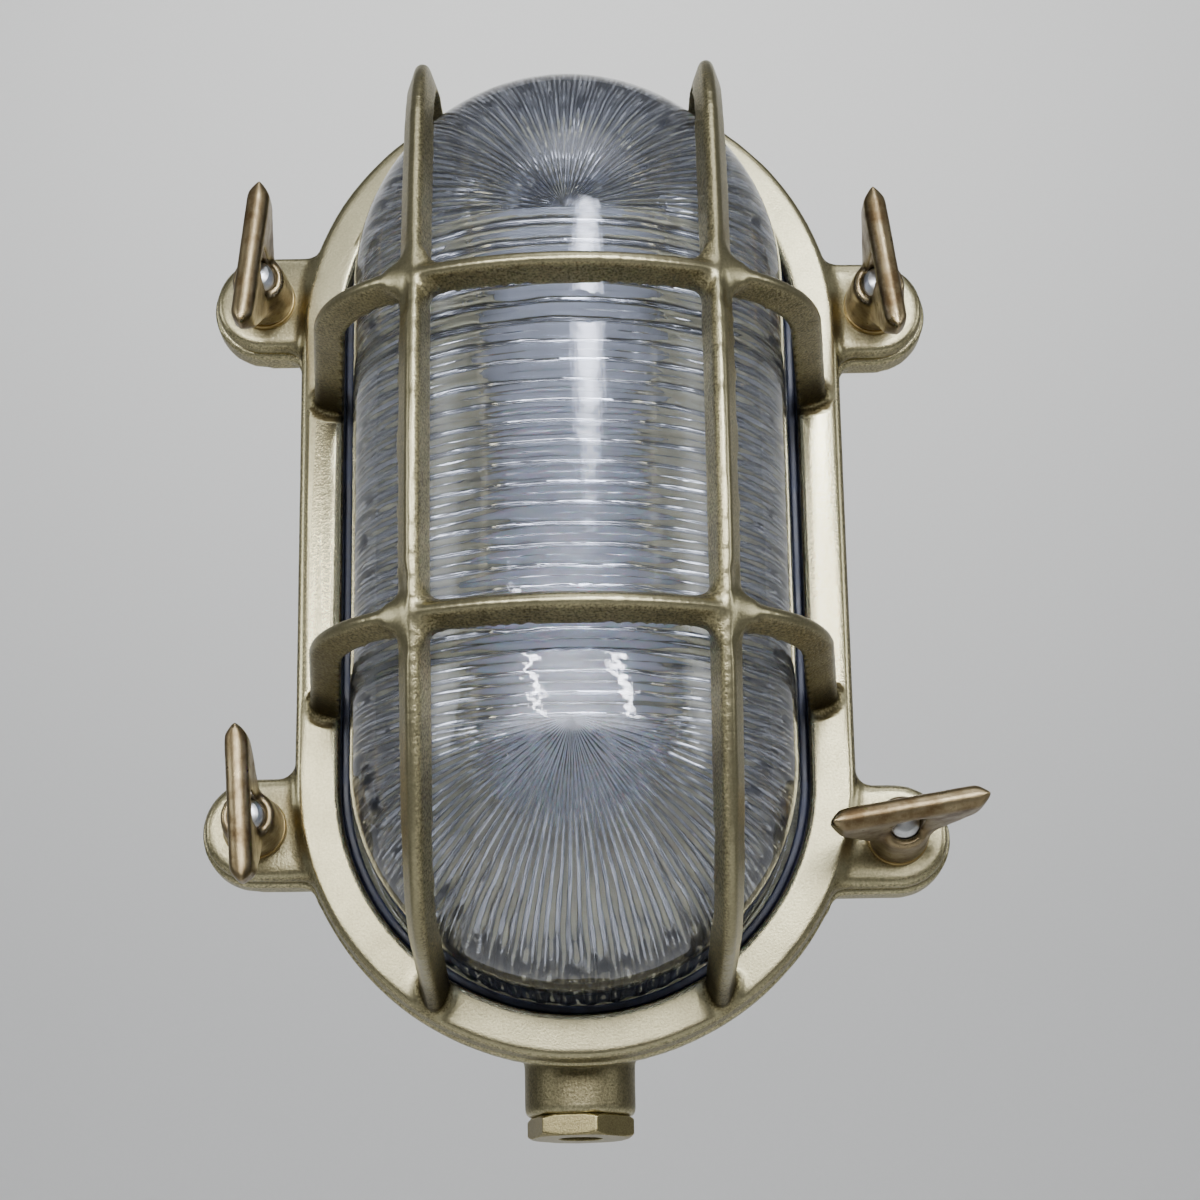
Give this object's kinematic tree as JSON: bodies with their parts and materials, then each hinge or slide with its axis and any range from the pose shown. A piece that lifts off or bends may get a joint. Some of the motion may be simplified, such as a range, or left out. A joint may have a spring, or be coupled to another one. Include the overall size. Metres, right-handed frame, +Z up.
{
  "type": "outdoor wall light",
  "caption": "Oval cast brass bulkhead wall light with a caged, ribbed glass dome held by wing nuts on side lugs, a lamp on a porcelain holder inside and a cable gland below.",
  "frame": {"origin": "centre of the four wall screw holes, on the wall face", "axes": "+Z up, +X to the right seen from in front, -Y out of the wall towards the viewer"},
  "size_m": [0.1937, 0.1421, 0.2776],
  "materials": {
    "cast_brass": "linished and sand cast brass, lightly tarnished",
    "bronze": "cast bronze with brown patina",
    "turned_brass": "turned brass",
    "zinc_steel": "zinc plated steel",
    "clear_glass": "pressed clear glass",
    "opal_glass": "opal glass",
    "neoprene": "moulded neoprene",
    "porcelain": "glazed white porcelain"
  },
  "bodies": {
    "housing": {"back_housing": "cast_brass", "guard": "cast_brass", "glass_dome": "clear_glass", "front_gasket": "neoprene", "rear_gasket": "neoprene", "stud_top_left": "zinc_steel", "stud_top_right": "zinc_steel", "stud_bottom_left": "zinc_steel", "stud_bottom_right": "zinc_steel", "gland_seal": "neoprene", "holder_bracket": "zinc_steel", "bracket_screws": "turned_brass", "holder_screws": "turned_brass", "lampholder_body": "porcelain", "lampholder_shell": "turned_brass", "centre_contact": "turned_brass", "terminal_screws": "turned_brass", "lamp_bulb": "opal_glass", "earth_screw": "turned_brass", "earth_washer": "turned_brass"},
    "washer_top_left": {"washer_top_left": "turned_brass"},
    "wing_nut_top_left": {"wing_nut_top_left": "bronze"},
    "washer_top_right": {"washer_top_right": "turned_brass"},
    "wing_nut_top_right": {"wing_nut_top_right": "bronze"},
    "washer_bottom_left": {"washer_bottom_left": "turned_brass"},
    "wing_nut_bottom_left": {"wing_nut_bottom_left": "bronze"},
    "washer_bottom_right": {"washer_bottom_right": "turned_brass"},
    "wing_nut_bottom_right": {"wing_nut_bottom_right": "bronze"},
    "gland_washer": {"gland_washer": "turned_brass"},
    "gland_nut": {"gland_nut": "turned_brass"}
  },
  "joints": [
    {"name": "nut_travel_top_left", "type": "slide", "parent": "housing", "child": "washer_top_left", "axis": [0, -1, 0], "range_m": [0, 0.01624]},
    {"name": "nut_turn_top_left", "type": "hinge", "parent": "washer_top_left", "child": "wing_nut_top_left", "pos_m": [-0.08, -0.048, 0.0695], "axis": [0, -1, 0], "range_deg": [0, 4680]},
    {"name": "nut_travel_top_right", "type": "slide", "parent": "housing", "child": "washer_top_right", "axis": [0, -1, 0], "range_m": [0, 0.01624]},
    {"name": "nut_turn_top_right", "type": "hinge", "parent": "washer_top_right", "child": "wing_nut_top_right", "pos_m": [0.08, -0.048, 0.0655], "axis": [0, -1, 0], "range_deg": [0, 4680]},
    {"name": "nut_travel_bottom_left", "type": "slide", "parent": "housing", "child": "washer_bottom_left", "axis": [0, -1, 0], "range_m": [0, 0.01624]},
    {"name": "nut_turn_bottom_left", "type": "hinge", "parent": "washer_bottom_left", "child": "wing_nut_bottom_left", "pos_m": [-0.08, -0.048, -0.0715], "axis": [0, -1, 0], "range_deg": [0, 4680]},
    {"name": "nut_travel_bottom_right", "type": "slide", "parent": "housing", "child": "washer_bottom_right", "axis": [0, -1, 0], "range_m": [0, 0.01624]},
    {"name": "nut_turn_bottom_right", "type": "hinge", "parent": "washer_bottom_right", "child": "wing_nut_bottom_right", "pos_m": [0.08, -0.048, -0.0755], "axis": [0, -1, 0], "range_deg": [0, 4680]},
    {"name": "gland_travel", "type": "slide", "parent": "housing", "child": "gland_washer", "axis": [0, 0, -1], "range_m": [0, 0.00899]},
    {"name": "gland_turn", "type": "hinge", "parent": "gland_washer", "child": "gland_nut", "pos_m": [0, -0.018, -0.14], "axis": [0, 0, -1], "range_deg": [0, 2160]}
  ],
  "couplings": [
    {"joint": "nut_turn_top_left", "follows": "nut_travel_top_left", "rad_per_m": 5026.5},
    {"joint": "nut_turn_top_right", "follows": "nut_travel_top_right", "rad_per_m": 5026.5},
    {"joint": "nut_turn_bottom_left", "follows": "nut_travel_bottom_left", "rad_per_m": 5026.5},
    {"joint": "nut_turn_bottom_right", "follows": "nut_travel_bottom_right", "rad_per_m": 5026.5},
    {"joint": "gland_turn", "follows": "gland_travel", "rad_per_m": 4188.8}
  ]
}
